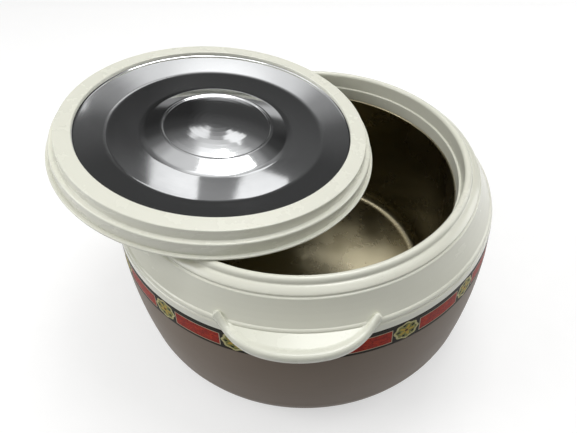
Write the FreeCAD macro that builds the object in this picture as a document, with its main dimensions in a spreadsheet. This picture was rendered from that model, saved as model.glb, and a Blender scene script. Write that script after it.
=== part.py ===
"""Insulated casserole for chapatis, with a loose lid lying upside down across its rim.

The pot is a foam-filled plastic shell round a pressed steel bowl, closed at the top by a moulded
collar with two half-moon handles and at the bottom by a filling cap. The lid is a domed cover
with a knob, welded to a stepped ring that holds a pressed steel plate, with foam between them.

Millimetres, +Z up. The origin is the centre of the foot ring, on the table. The handles are on
the Y axis. The lid is modelled knob up and then laid upside down: its round dome sits on the
rim like a ball on a ring, slid to one side, so the tilt follows from how far it is slid.
"""
import FreeCAD, Part
import math
import os
import Sketcher

doc = FreeCAD.newDocument("chapati_casserole")

# Driving dimensions: name, millimetres or degrees, meaning
SIZES = (
    ("rim_height", 125.0, "top of the rim above the table"),
    ("rim_radius", 100.0, "axis to the middle of the rim bead"),
    ("rim_bead", 2.2, "radius of the rounded rim bead"),
    ("wall", 2.3, "moulded wall of shell and collar"),
    ("seat_play", 0.15, "clearance where curved pieces of one body nest"),
    ("ledge_width", 1.4, "how much narrower the throat is than the recess"),
    ("ledge_drop", 10.2, "rim top down to the lid ledge"),
    ("ledge_round", 0.8, "rounding of the lid ledge"),
    ("recess_flare", 0.3, "widening of the recess towards the rim"),
    ("throat_drop", 18.6, "rim top down to the lower end of the throat"),
    ("bead_foot", 0.9, "width of the rim bead's outer foot"),
    ("groove_drop", 2.9, "rim top down to the outer foot of the bead"),
    ("neck_width", 3.9, "width of the sloping neck band"),
    ("neck_drop", 4.9, "rim top down to the edge of the neck band"),
    ("neck_bulge", 9.0, "radius of the neck band's convex face"),
    ("line_size", 1.0, "size of the moulded lines on the collar"),
    ("shoulder_width", 9.0, "neck band out to the lower end of the shoulder"),
    ("shoulder_drop", 19.2, "rim top down to the lower end of the shoulder"),
    ("shoulder_hollow", 90.0, "radius of the shoulder's hollow curve"),
    ("roll_size", 2.2, "height of the rolled edge under the shoulder"),
    ("roll_width", 1.65, "how far the rolled edge stands out from the shoulder"),
    ("skirt_width", 3.0, "shoulder out to the lower edge of the skirt"),
    ("skirt_drop", 26.6, "rim top down to the lower edge of the skirt"),
    ("tongue_depth", 6.5, "collar tongue inside the shell"),
    ("band_height", 14.2, "printed band"),
    ("band_thick", 0.35, "film of the printed band"),
    ("band_flare", 1.5, "how much wider the band is at its lower edge"),
    ("belly_inset", 0.1, "band out of line with the start of the base corner"),
    ("belly_bulge", 330.0, "radius of the shell wall's upright curve"),
    ("corner_size", 31.0, "height of the rounded base corner"),
    ("foot_inset", 30.4, "belly in to the outer edge of the foot ring"),
    ("foot_width", 5.0, "flat of the foot ring"),
    ("foot_height", 3.0, "base plate above the table"),
    ("cap_radius", 31.0, "filling cap"),
    ("cap_thick", 1.5, "filling cap disc"),
    ("cap_lap", 5.0, "width of the filling cap's edge outside the filling hole"),
    ("cap_round", 0.7, "rounding of the filling cap's edge"),
    ("snap_height", 4.5, "snap ring of the filling cap"),
    ("steel", 0.6, "sheet steel of the bowl and the lid plate"),
    ("bowl_inset", 0.8, "bowl inside the throat, under its flange"),
    ("bowl_draft", 1.6, "how much narrower the bowl is at the floor"),
    ("bowl_floor", 15.0, "bowl floor above the table"),
    ("bowl_corner", 9.0, "inside radius between floor and wall"),
    ("bowl_lip", 1.0, "rounding under the bowl's flange"),
    ("flange_lap", 2.3, "bowl flange beyond the throat's wall"),
    ("handle_depth", 12.0, "front of a handle beyond the skirt"),
    ("handle_curve", 62.0, "plan radius of a handle's front edge"),
    ("handle_sweep", 15.0, "half angle of the front edge, degrees"),
    ("handle_side", 36.0, "plan radius of a handle's sides"),
    ("handle_side_angle", 31.0, "turn of the sides, degrees"),
    ("handle_climb", 12.0, "radius in which the ends start to climb"),
    ("handle_lean", 38.0, "how steeply the ends climb, degrees"),
    ("handle_run", 4.0, "straight run of the ends on the shoulder"),
    ("handle_drop", 20.0, "rim top down to the handle's upper edge"),
    ("handle_edge", 4.2, "thickness of the rolled handle edge"),
    ("handle_edge_height", 5.4, "height of the rolled handle edge"),
    ("handle_dish", 0.5, "handle plate below its rolled edge"),
    ("handle_plate", 2.6, "thickness of the handle plate"),
    ("boss_radius", 2.5, "screw bosses under the handle plate"),
    ("boss_length", 8.0, "screw bosses, out from the collar"),
    ("screw_drop", 24.1, "rim top down to the handle screws"),
    ("screw_angle", 9.0, "handle screws off the handle's middle, degrees"),
    ("screw_radius", 1.4, "shank of the handle screws"),
    ("screw_length", 11.0, "shank of the handle screws"),
    ("screw_head", 2.6, "head radius of the handle screws"),
    ("screw_head_thick", 1.8, "head of the handle screws"),
    ("lid_clearance", 1.3, "lid flange inside the recess"),
    ("lid_step_width", 3.1, "width of the step behind the lid flange"),
    ("lid_step_draft", 0.8, "taper of the plug's step"),
    ("lid_step", 5.6, "height of the plug's step"),
    ("flange_round", 1.0, "rounding of the lid flange"),
    ("lid_skirt_flare", 0.7, "taper of the lid skirt up to the lip"),
    ("lid_plug", 12.6, "plug face to the underside of the lip"),
    ("lid_lip_width", 2.2, "lid lip beyond the skirt"),
    ("lid_lip", 1.4, "thickness of the lid lip"),
    ("lid_wall", 2.2, "moulded wall of the lid"),
    ("lid_round", 0.7, "rounding of the lid's edges"),
    ("dome_rise", 12.9, "height of the lid's dome above its lip"),
    ("spigot_depth", 2.8, "cover spigot inside the lid ring"),
    ("spigot_wall", 1.6, "thickness of the cover spigot"),
    ("face_width", 9.6, "flat face of the plug outside the plate"),
    ("plate_grip", 5.0, "edge of the lid plate held by the ring"),
    ("slope_width", 15.8, "the plate's sloping rim"),
    ("crease_round", 4.8, "rounding between sloping rim and flat"),
    ("crease_height", 7.0, "plug face up to the plate's flat"),
    ("flat_width", 22.9, "the plate's flat"),
    ("pedestal_rise", 2.8, "height of the plate's raised ring"),
    ("pedestal_width", 11.7, "the plate's raised ring"),
    ("medallion_step", 0.8, "step from the raised ring to the dome"),
    ("medallion_rise", 2.8, "height of the plate's central dome"),
    ("pad_radius", 15.0, "flat pad under the knob"),
    ("pad_height", 0.4, "flat pad above the dome"),
    ("knob_foot", 13.5, "foot of the knob"),
    ("knob_radius", 21.5, "widest part of the knob"),
    ("knob_height", 16.5, "knob above its pad"),
    ("knob_grip", 9.5, "pad up to the knob's rounded edge"),
    ("knob_edge", 2.6, "width of the knob's rounded edge"),
    ("knob_round", 3.4, "radius of the knob's rounded edge"),
    ("knob_waist", 13.0, "radius of the knob's hollow waist"),
    ("knob_hole", 1.6, "screw hole in knob and cover"),
    ("knob_screw_head", 4.6, "head radius of the knob screw"),
    ("knob_screw_thick", 2.2, "head of the knob screw"),
    ("knob_screw_reach", 11.0, "knob screw above the pad"),
    ("lid_play", 0.3, "clearance of the resting lid to the rim"),
    ("lid_slid", 53.7, "how far the resting lid is slid off centre"),
    ("lid_heading", 172.0, "direction in which the lid is slid, degrees"),
)


class Size:
    """A length that carries both its value and the spreadsheet formula behind it."""

    def __init__(self, value, formula):
        self.value = value
        self.formula = formula

    def join(self, sign, other, result):
        text = other.formula if isinstance(other, Size) else repr(float(other))
        return Size(result, "(" + self.formula + " " + sign + " " + text + ")")

    def __add__(self, other):
        return self.join("+", other, self.value + number(other))

    def __sub__(self, other):
        return self.join("-", other, self.value - number(other))

    def __mul__(self, other):
        return self.join("*", other, self.value * number(other))

    def __truediv__(self, other):
        return self.join("/", other, self.value / number(other))

    def __neg__(self):
        return self * -1


def number(size):
    """The plain value of a Size or of a number."""
    return size.value if isinstance(size, Size) else float(size)


def fill_sheet():
    """Put the driving dimensions into a spreadsheet and return them by name."""
    sheet = doc.addObject("Spreadsheet::Sheet", "sizes")
    named = {}
    for row, (name, value, meaning) in enumerate(SIZES, start=1):
        sheet.set("A" + str(row), name)
        sheet.set("B" + str(row), str(value))
        sheet.set("C" + str(row), meaning)
        sheet.setAlias("B" + str(row), name)
        named[name] = Size(value, "sizes." + name)
    doc.recompute()
    return type("Sizes", (), named)


S = fill_sheet()
ZERO = Size(0.0, "0")
UP = FreeCAD.Vector(0, 0, 1)


def arc_between(start, end, bend):
    """Arc of radius |bend| from start to end, turning left if bend is positive."""
    middle = (start + end) * 0.5
    chord = end - start
    left = FreeCAD.Vector(-chord.y, chord.x, 0).normalize()
    radius = abs(bend)
    to_centre = math.sqrt(max(radius ** 2 - (chord.Length / 2) ** 2, 0.0))
    centre = middle + left * math.copysign(to_centre, bend)
    first, last = (start, end) if bend > 0 else (end, start)
    from_angle = math.atan2(first.y - centre.y, first.x - centre.x)
    to_angle = math.atan2(last.y - centre.y, last.x - centre.x)
    return Part.ArcOfCircle(Part.Circle(centre, UP, radius), from_angle, to_angle)


def pin_corner(sketch, edge, end, corner, label):
    """Hold one corner of an outline at its radius and height."""
    places = (("DistanceX", -2, corner[0], "_radius"), ("DistanceY", -1, corner[1], "_height"))
    for kind, axis, size, word in places:
        if size is ZERO:
            sketch.addConstraint(Sketcher.Constraint("PointOnObject", edge, end, axis))
            continue
        index = sketch.addConstraint(Sketcher.Constraint(kind, edge, end, size.value))
        sketch.renameConstraint(index, label + word)
        sketch.setExpression("Constraints." + label + word, size.formula)


def draw_outline(sketch, corners):
    """Closed outline through corners (radius, height) or (radius, height, bend).

    A bend is the signed radius of the arc that leads to the corner: positive turns left.
    """
    points = [FreeCAD.Vector(corner[0].value, corner[1].value, 0) for corner in corners]
    ends = []
    for index, point in enumerate(points):
        after = (index + 1) % len(corners)
        bend = corners[after][2] if len(corners[after]) == 3 else None
        if bend is None:
            sketch.addGeometry(Part.LineSegment(point, points[after]))
            ends.append((1, 2))
            continue
        sketch.addGeometry(arc_between(point, points[after], bend.value))
        ends.append((1, 2) if bend.value > 0 else (2, 1))
        size = bend if bend.value > 0 else -bend
        radius = sketch.addConstraint(Sketcher.Constraint("Radius", index, size.value))
        sketch.renameConstraint(radius, "bend_" + str(index))
        sketch.setExpression("Constraints.bend_" + str(index), size.formula)
    for index, corner in enumerate(corners):
        before = index - 1 if index else len(corners) - 1
        joint = Sketcher.Constraint("Coincident", before, ends[before][1], index, ends[index][0])
        sketch.addConstraint(joint)
        pin_corner(sketch, index, ends[index][0], corner, "corner_" + str(index))


def turned(name, *outlines):
    """A body made by turning one or more closed outlines about the Z axis."""
    body = doc.addObject("PartDesign::Body", name)
    body.Label = name
    plane = [item for item in body.Origin.OriginFeatures if item.Role == "XZ_Plane"][0]
    for index, corners in enumerate(outlines):
        sketch = body.newObject("Sketcher::SketchObject", name + "_section_" + str(index))
        sketch.AttachmentSupport = (plane, [""])
        sketch.MapMode = "FlatFace"
        draw_outline(sketch, corners)
        doc.recompute()
        turn = body.newObject("PartDesign::Revolution", name + "_turn_" + str(index))
        turn.Profile = sketch
        turn.ReferenceAxis = (sketch, ["V_Axis"])
        turn.Angle = 360.0
        sketch.Visibility = False
        body.Tip = turn
        doc.recompute()
    return body


def solid(name, shape):
    """A plain feature that holds a worked-out shape."""
    feature = doc.addObject("Part::Feature", name)
    feature.Label = name
    feature.Shape = shape
    return feature


def subtracted(name, base, tool):
    """The base feature with the tool feature cut out of it."""
    cut = doc.addObject("Part::Cut", name)
    cut.Label = name
    cut.Base = base
    cut.Tool = tool
    doc.recompute()
    return cut


# Heights and radii that several pieces share
RIM = S.rim_height
BEAD_SIDE = RIM - S.rim_bead
RECESS = S.rim_radius - S.rim_bead
MOUTH = RECESS - S.ledge_width
GROOVE = S.rim_radius + S.rim_bead + S.bead_foot
NECK = GROOVE + S.neck_width
SHOULDER = NECK + S.shoulder_width
ROLL = SHOULDER + S.roll_width
SKIRT = SHOULDER + S.skirt_width
SKIRT_END = RIM - S.skirt_drop
TONGUE_OUTER = SKIRT - S.wall - S.seat_play * 2
TONGUE_INNER = TONGUE_OUTER - S.wall
TONGUE_END = SKIRT_END - S.tongue_depth
THROAT_END = RIM - S.throat_drop
THROAT_OUTER = MOUTH + S.wall
BAND_END = SKIRT_END - S.band_height
BAND_END_RADIUS = SKIRT + S.band_flare
BELLY = BAND_END_RADIUS - S.belly_inset
FOOT = BELLY - S.foot_inset
FOOT_INNER = FOOT - S.foot_width
FOOT_START = FOOT_INNER - S.foot_height / 2
FILLING = S.cap_radius - S.cap_lap
BOWL = MOUTH - S.bowl_inset
BOWL_BASE = BOWL - S.bowl_draft
BOWL_FLANGE = THROAT_OUTER + S.flange_lap
FLANGE_UNDER = THROAT_END - S.steel
BASE_INSIDE = S.foot_height + S.wall
CAP_SEAT = S.foot_height + S.cap_thick


def collar_outside(grow):
    """Outer face of the collar from the top of the shoulder up to the rim's top, moved out by grow."""
    line = S.line_size
    half = line / 2
    return [
        (NECK + line + half + grow, RIM - S.neck_drop - line * 2 - half),
        (NECK + half + grow, RIM - S.neck_drop - line - half, line),
        (NECK + grow, RIM - S.neck_drop - line),
        (NECK + grow, RIM - S.neck_drop),
        (GROOVE + grow, RIM - S.groove_drop, S.neck_bulge),
        (S.rim_radius + S.rim_bead + grow, BEAD_SIDE, -line),
        (S.rim_radius + grow, RIM, S.rim_bead),
    ]


def collar_edge(grow):
    """Outer face of the collar from the skirt's lower edge up to the shoulder, moved out by grow."""
    line = S.line_size
    half = line / 2
    roll_end = RIM - S.shoulder_drop - S.roll_size
    return [
        (SKIRT + grow, SKIRT_END),
        (ROLL + line + grow, roll_end - line - half),
        (ROLL + grow, roll_end - half, line),
        (ROLL - half + grow, roll_end - half),
        (ROLL + grow, roll_end),
        (SHOULDER + grow, RIM - S.shoulder_drop, S.roll_size),
    ]


def make_collar():
    """Moulded collar: recess and ledge for the lid, rim, neck band, shoulder, skirt and tongue."""
    outside = collar_outside(ZERO)
    shoulder_top = outside[0] + (-S.shoulder_hollow,)
    corners = [(THROAT_OUTER, THROAT_END), (THROAT_OUTER, RIM - S.ledge_drop)]
    corners += [
        (RECESS + S.wall, RIM - S.ledge_drop + S.wall),
        (RECESS + S.wall, RIM - S.groove_drop - S.wall),
        (NECK - S.wall / 2, RIM - S.neck_drop - S.wall),
        (NECK - S.wall / 2, RIM - S.neck_drop - S.wall * 2),
        (TONGUE_INNER, RIM - S.shoulder_drop - S.wall / 2),
        (TONGUE_INNER, TONGUE_END),
        (TONGUE_OUTER, TONGUE_END),
        (TONGUE_OUTER, SKIRT_END),
    ]
    corners += collar_edge(ZERO) + [shoulder_top] + outside[1:]
    corners += [
        (RECESS, BEAD_SIDE, S.rim_bead),
        (RECESS - S.recess_flare, RIM - S.ledge_drop),
        (MOUTH + S.ledge_round, RIM - S.ledge_drop),
        (MOUTH, RIM - S.ledge_drop - S.ledge_round, S.ledge_round),
        (MOUTH, THROAT_END),
    ]
    return turned("collar_moulding", corners)


def collar_envelope():
    """Everything inside the collar's outer face, a little larger, to trim the handles with."""
    outside = collar_outside(S.seat_play)
    shoulder_top = outside[0] + (-S.shoulder_hollow,)
    corners = [(ZERO, TONGUE_END), (SKIRT + S.seat_play, TONGUE_END)]
    corners += collar_edge(S.seat_play) + [shoulder_top] + outside[1:] + [(ZERO, RIM)]
    return turned("collar_envelope", corners)


def make_shell():
    """Outer shell with a recess for the band, a bellied wall, a round base corner and a foot ring."""
    film = S.band_thick
    inner = SKIRT - S.wall - S.seat_play
    corners = [
        (FILLING, CAP_SEAT),
        (S.cap_radius + S.seat_play, CAP_SEAT),
        (S.cap_radius + S.seat_play, S.foot_height),
        (FOOT_START, S.foot_height),
        (FOOT_INNER, ZERO),
        (FOOT, ZERO),
        (BELLY, S.corner_size, S.corner_size),
        (BAND_END_RADIUS + S.seat_play, BAND_END, S.belly_bulge),
        (BAND_END_RADIUS - film, BAND_END),
        (SKIRT - film, SKIRT_END),
        (inner, SKIRT_END),
        (inner, TONGUE_END - S.seat_play),
        (BAND_END_RADIUS - S.wall, BAND_END - S.wall),
        (BELLY - S.wall, S.corner_size, -(S.belly_bulge - S.wall)),
        (FOOT, S.wall, -(S.corner_size - S.wall)),
        (FOOT_INNER, S.wall),
        (FOOT_START, BASE_INSIDE),
        (S.cap_radius + S.wall, BASE_INSIDE),
        (S.cap_radius, BASE_INSIDE + S.cap_thick),
        (FILLING, BASE_INSIDE + S.cap_thick),
    ]
    return turned("outer_shell", corners)


def make_band():
    """Printed film in the shell's recess, between the collar's skirt and the wall below."""
    gap = S.seat_play / 2
    inner_shift = gap - S.band_thick
    corners = [
        (BAND_END_RADIUS + inner_shift, BAND_END + gap),
        (BAND_END_RADIUS + gap, BAND_END + gap),
        (SKIRT + gap, SKIRT_END - gap),
        (SKIRT + inner_shift, SKIRT_END - gap),
    ]
    return turned("decor_band", corners)


def make_bowl():
    """Pressed steel bowl, its flange clamped under the collar's throat."""
    corners = [
        (ZERO, S.bowl_floor - S.steel),
        (BOWL_BASE - S.bowl_corner, S.bowl_floor - S.steel),
        (BOWL_BASE + S.steel, S.bowl_floor + S.bowl_corner, S.bowl_corner + S.steel),
        (BOWL + S.steel, FLANGE_UNDER),
        (BOWL_FLANGE, FLANGE_UNDER),
        (BOWL_FLANGE, THROAT_END),
        (BOWL + S.bowl_lip, THROAT_END),
        (BOWL, THROAT_END - S.bowl_lip, S.bowl_lip),
        (BOWL_BASE, S.bowl_floor + S.bowl_corner),
        (BOWL_BASE - S.bowl_corner, S.bowl_floor, -S.bowl_corner),
        (ZERO, S.bowl_floor),
    ]
    return turned("inner_bowl", corners)


def make_body_foam():
    """Foam that fills the space between bowl, shell and collar."""
    gap = S.seat_play
    cap_room = FILLING + S.wall
    cap_top = CAP_SEAT + S.snap_height + gap
    corners = [
        (ZERO, cap_top),
        (cap_room, cap_top),
        (cap_room, BASE_INSIDE + S.cap_thick + gap),
        (S.cap_radius + gap * 2, BASE_INSIDE + S.cap_thick + gap),
        (S.cap_radius + S.wall + gap * 2, BASE_INSIDE + gap),
        (FOOT_START + gap, BASE_INSIDE + gap),
        (FOOT_INNER + gap, S.wall + gap),
        (FOOT, S.wall + gap),
        (BELLY - S.wall - gap, S.corner_size, S.corner_size - S.wall - gap),
        (BAND_END_RADIUS - S.wall - gap, BAND_END - S.wall, S.belly_bulge - S.wall - gap),
        (SKIRT - S.wall - gap * 2, TONGUE_END - gap * 2),
        (TONGUE_INNER - gap, TONGUE_END - gap * 2),
        (TONGUE_INNER - gap, RIM - S.shoulder_drop - S.wall / 2 - gap),
        (NECK - S.wall / 2 - gap, RIM - S.neck_drop - S.wall * 2 - gap),
        (NECK - S.wall / 2 - gap, RIM - S.neck_drop - S.wall - gap),
        (RECESS + S.wall + gap, RIM - S.groove_drop - S.wall - gap),
        (RECESS + S.wall + gap, RIM - S.ledge_drop + S.wall - gap),
        (THROAT_OUTER + gap, RIM - S.ledge_drop - gap),
        (THROAT_OUTER + gap, THROAT_END + gap),
        (BOWL_FLANGE + gap, THROAT_END + gap),
        (BOWL_FLANGE + gap, FLANGE_UNDER - gap),
        (BOWL + S.steel + gap, FLANGE_UNDER - gap),
        (BOWL_BASE + S.steel + gap, S.bowl_floor + S.bowl_corner),
        (BOWL_BASE - S.bowl_corner, S.bowl_floor - S.steel - gap, -(S.bowl_corner + S.steel + gap)),
        (ZERO, S.bowl_floor - S.steel - gap),
    ]
    return turned("foam_filling", corners)


def make_cap():
    """Filling cap: a disc flush in the base plate, with a snap ring through the filling hole."""
    ring = FILLING - S.seat_play
    ring_top = CAP_SEAT + S.snap_height
    corners = [
        (ZERO, S.foot_height),
        (S.cap_radius - S.cap_round, S.foot_height),
        (S.cap_radius, S.foot_height + S.cap_round, S.cap_round),
        (S.cap_radius, CAP_SEAT),
        (ring, CAP_SEAT),
        (ring, ring_top),
        (ring - S.cap_thick, ring_top),
        (ring - S.cap_thick, CAP_SEAT),
        (ZERO, CAP_SEAT),
    ]
    return turned("base_cap", corners)


def turned_about(shape, degrees):
    """A copy of a shape turned about the pot's axis."""
    copy = shape.copy()
    copy.rotate(FreeCAD.Vector(0, 0, 0), UP, degrees)
    return copy


def radial_rod(radius, start, end, height, degrees):
    """A round rod that lies along a radius of the pot, degrees off the front handle's middle."""
    foot = FreeCAD.Vector(0, -start, height)
    rod = Part.makeCylinder(radius, end - start, foot, FreeCAD.Vector(0, -1, 0))
    return turned_about(rod, degrees)


def screw_angles():
    """Turns from the front handle's middle to each of the four handle screws."""
    spread = S.screw_angle.value
    return (-spread, spread, 180 - spread, 180 + spread)


def screw_rods(radius, start, end):
    """Rods of one size at all four handle screws."""
    height = S.rim_height.value - S.screw_drop.value
    return Part.makeCompound([radial_rod(radius, start, end, height, turn) for turn in screw_angles()])


def make_screws():
    """Four screws, driven outwards through the collar into the bosses of the handles."""
    seat = TONGUE_INNER.value - S.seat_play.value / 2
    height = S.rim_height.value - S.screw_drop.value
    screws = []
    for turn in screw_angles():
        shank = radial_rod(S.screw_radius.value, seat, seat + S.screw_length.value, height, turn)
        head = radial_rod(S.screw_head.value, seat - S.screw_head_thick.value, seat, height, turn)
        screws.append(head.fuse(shank).removeSplitter())
    return solid("handle_screws", Part.makeCompound(screws))


def handle_path():
    """Middle line of a handle's rolled edge, from its front out to one end, in seven points.

    In plan it is a front arc and a narrower side arc; then it climbs in a short upright arc and
    runs straight up the shoulder. The points are the front, the end of the front arc, the middle
    and end of the side arc, the middle and end of the climb, and the tip.
    """
    half = S.handle_edge.value / 2
    curve = S.handle_curve.value - half
    side = S.handle_side.value - half
    climb = S.handle_climb.value
    sweep = math.radians(S.handle_sweep.value)
    turn = math.radians(S.handle_side_angle.value)
    lean = math.radians(S.handle_lean.value)
    height = S.rim_height.value - S.handle_drop.value - half
    front = FreeCAD.Vector(0, half - SKIRT.value - S.handle_depth.value, height)

    def heading(angle):
        return FreeCAD.Vector(math.cos(angle), math.sin(angle), 0)

    def inward(angle):
        return FreeCAD.Vector(-math.sin(angle), math.cos(angle), 0)

    side_start = front + inward(0) * curve - inward(sweep) * curve
    side_centre = side_start + inward(sweep) * side
    side_middle = side_centre - inward(sweep + turn / 2) * side
    side_end = side_centre - inward(sweep + turn) * side
    along = heading(sweep + turn)
    climb_middle = side_end + along * climb * math.sin(lean / 2) + UP * climb * (1 - math.cos(lean / 2))
    climb_end = side_end + along * climb * math.sin(lean) + UP * climb * (1 - math.cos(lean))
    tip = climb_end + (along * math.cos(lean) + UP * math.sin(lean)) * S.handle_run.value
    return [front, side_start, side_middle, side_end, climb_middle, climb_end, tip]


def other_side(points):
    """The same points on the other side of the handle's middle."""
    return [FreeCAD.Vector(-point.x, point.y, point.z) for point in points]


def handle_edge_section(centre, heading):
    """Upright rounded section of the rolled edge, square to a level heading."""
    half = S.handle_edge.value / 2
    side = UP.cross(heading).normalize() * half
    low = centre - UP * (S.handle_edge_height.value - S.handle_edge.value)
    top_arc = Part.Arc(centre + side, centre + UP * half, centre - side)
    low_arc = Part.Arc(low - side, low - UP * half, low + side)
    edges = [
        top_arc.toShape(),
        Part.LineSegment(centre - side, low - side).toShape(),
        low_arc.toShape(),
        Part.LineSegment(low + side, centre + side).toShape(),
    ]
    return Part.Wire(edges)


def rounded_end(centre, heading):
    """Rounded end of the rolled edge: half of its section turned round its upright middle."""
    half = S.handle_edge.value / 2
    side = UP.cross(heading).normalize() * -half
    low = centre - UP * (S.handle_edge_height.value - S.handle_edge.value)
    slant = math.sqrt(0.5)
    top_middle = centre + (UP * half + side) * slant
    low_middle = low + (side - UP * half) * slant
    outline = Part.Wire([
        Part.Arc(centre + UP * half, top_middle, centre + side).toShape(),
        Part.LineSegment(centre + side, low + side).toShape(),
        Part.Arc(low + side, low_middle, low - UP * half).toShape(),
        Part.LineSegment(low - UP * half, centre + UP * half).toShape(),
    ])
    return Part.Face(outline).revolve(centre, UP, 180)


def make_rolled_edge(right, left):
    """Rolled edge of a handle, swept along its middle line, with rounded ends."""
    path = Part.Wire([
        Part.LineSegment(left[6], left[5]).toShape(),
        Part.Arc(left[5], left[4], left[3]).toShape(),
        Part.Arc(left[3], left[2], left[1]).toShape(),
        Part.Arc(left[1], right[0], right[1]).toShape(),
        Part.Arc(right[1], right[2], right[3]).toShape(),
        Part.Arc(right[3], right[4], right[5]).toShape(),
        Part.LineSegment(right[5], right[6]).toShape(),
    ])
    heading = FreeCAD.Vector(right[6].x - right[5].x, right[6].y - right[5].y, 0)
    left_heading = FreeCAD.Vector(-heading.x, heading.y, 0)
    section = handle_edge_section(left[6], -left_heading)
    sweep = Part.BRepOffsetAPI.MakePipeShell(path)
    sweep.setBiNormalMode(UP)
    sweep.add(section)
    sweep.build()
    sweep.makeSolid()
    return sweep.shape().fuse([rounded_end(left[6], left_heading), rounded_end(right[6], heading)])


def make_handle_plate(right, left):
    """Flat plate of a handle, out to the middle of its rolled edge and in behind the collar's face."""
    top = S.rim_height.value - S.handle_drop.value - S.handle_dish.value

    def level(point):
        return FreeCAD.Vector(point.x, point.y, top)

    back_right = FreeCAD.Vector(right[6].x, -MOUTH.value, top)
    back_left = FreeCAD.Vector(left[6].x, -MOUTH.value, top)
    rim = Part.Wire([
        Part.Arc(level(left[3]), level(left[2]), level(left[1])).toShape(),
        Part.Arc(level(left[1]), level(right[0]), level(right[1])).toShape(),
        Part.Arc(level(right[1]), level(right[2]), level(right[3])).toShape(),
        Part.makePolygon([level(right[3]), level(right[6]), back_right]),
        Part.makePolygon([back_right, back_left, level(left[6]), level(left[3])]),
    ])
    return Part.Face(rim).extrude(-UP * S.handle_plate.value)


def make_handle(name, envelope, degrees):
    """Half-moon handle: a flat plate with a rolled edge that climbs onto the shoulder at both ends."""
    right = handle_path()
    left = other_side(right)
    shape = make_rolled_edge(right, left).fuse(make_handle_plate(right, left))
    inside = MOUTH.value
    height = S.rim_height.value - S.screw_drop.value
    for turn in (-S.screw_angle.value, S.screw_angle.value):
        boss = radial_rod(S.boss_radius.value, inside, SKIRT.value + S.boss_length.value, height, turn)
        shape = shape.fuse(boss)
    shape = shape.cut(envelope.Shape)
    hole = S.screw_radius.value + S.seat_play.value
    screw_end = TONGUE_INNER.value + S.screw_length.value + S.seat_play.value
    shape = shape.cut(screw_rods(hole, inside, screw_end))
    shape = max(shape.Solids, key=lambda piece: piece.Volume).removeSplitter()
    handle = solid(name, shape)
    handle.Placement = FreeCAD.Placement(FreeCAD.Vector(0, 0, 0), FreeCAD.Rotation(UP, degrees))
    return handle


# Shared sizes of the lid; its heights go from the plug face up, with the knob on top
LID_FLANGE = RECESS - S.lid_clearance
LID_SKIRT = LID_FLANGE + S.lid_skirt_flare
LID_LIP = LID_SKIRT + S.lid_lip_width
LID_STEP = LID_FLANGE - S.lid_step_width
LID_FACE = LID_STEP - S.lid_step_draft
PLATE = LID_FACE - S.face_width
CREASE = PLATE - S.slope_width
PEDESTAL = CREASE - S.flat_width
MEDALLION = PEDESTAL - S.pedestal_width
LIP_TOP = S.lid_plug + S.lid_lip
DOME_EDGE = LID_LIP - S.lid_round
DOME_TOP = LIP_TOP + S.dome_rise
DOME_RADIUS = (DOME_EDGE * DOME_EDGE + S.dome_rise * S.dome_rise) / (S.dome_rise * 2)
RING_INNER = LID_SKIRT - S.lid_wall
PAD_TOP = DOME_TOP + S.pad_height
COVER_UNDER = DOME_TOP - S.lid_wall
SCREW_SEAT = COVER_UNDER - S.pad_height
PLATE_BACK = S.lid_wall


def make_lid_ring():
    """Ring of the lid: flat face round the plate, step, flange and skirt up to the lip."""
    corner = S.lid_round
    corners = [
        (PLATE + corner, ZERO),
        (LID_FACE - corner, ZERO),
        (LID_FACE, corner, corner),
        (LID_STEP, S.lid_step - corner),
        (LID_STEP + corner, S.lid_step, -corner),
        (LID_FLANGE - S.flange_round, S.lid_step),
        (LID_FLANGE, S.lid_step + S.flange_round, S.flange_round),
        (LID_SKIRT, S.lid_plug),
        (RING_INNER, S.lid_plug),
        (RING_INNER - corner, S.lid_step + S.lid_wall),
        (LID_STEP - S.lid_wall, S.lid_step + S.lid_wall),
        (LID_FACE - S.lid_wall, PLATE_BACK),
        (PLATE, PLATE_BACK),
        (PLATE, corner),
    ]
    first = corners[0] + (corner,)
    return turned("lid_ring", [first] + corners[1:])


def make_cover():
    """Domed top of the lid with its lip, a spigot inside the ring and a flat pad for the knob."""
    corner = S.lid_round
    spigot = RING_INNER - S.seat_play - corner
    corners = [
        (spigot, S.lid_plug - S.spigot_depth),
        (spigot, S.lid_plug),
        (LID_LIP - corner, S.lid_plug),
        (LID_LIP, S.lid_plug + corner, corner),
        (DOME_EDGE, LIP_TOP, corner),
        (S.knob_hole, DOME_TOP, DOME_RADIUS),
        (S.knob_hole, COVER_UNDER),
        (spigot - S.spigot_wall, S.lid_plug, -DOME_RADIUS),
        (spigot - S.spigot_wall, S.lid_plug - S.spigot_depth),
    ]
    pad = [
        (S.knob_hole, SCREW_SEAT),
        (S.pad_radius, SCREW_SEAT),
        (S.pad_radius, PAD_TOP),
        (S.knob_hole, PAD_TOP),
    ]
    return turned("lid_cover", corners, pad)


def plate_line(shift):
    """The plate's pressed line from its middle to its held edge, moved up by shift."""
    flat = S.crease_height
    ring_top = flat - S.pedestal_rise
    edge = ring_top + S.medallion_step
    rise = S.medallion_rise
    bulge = (MEDALLION * MEDALLION + rise * rise) / (rise * 2)
    slope = S.medallion_step * 2
    return [
        (ZERO, edge - rise + shift),
        (MEDALLION, edge + shift, bulge),
        (MEDALLION + S.medallion_step, ring_top + shift),
        (MEDALLION + slope, ring_top + shift),
        (PEDESTAL - S.medallion_step, flat - S.medallion_step / 2 + shift),
        (PEDESTAL + S.medallion_step, flat + shift, -slope),
        (CREASE - slope, flat + shift),
        (CREASE + slope, flat - slope / 2 + shift, -S.crease_round),
        (PLATE, PLATE_BACK + S.lid_round + shift),
        (PLATE + S.lid_round, PLATE_BACK + shift, slope),
        (PLATE + S.plate_grip, PLATE_BACK + shift),
    ]


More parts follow.
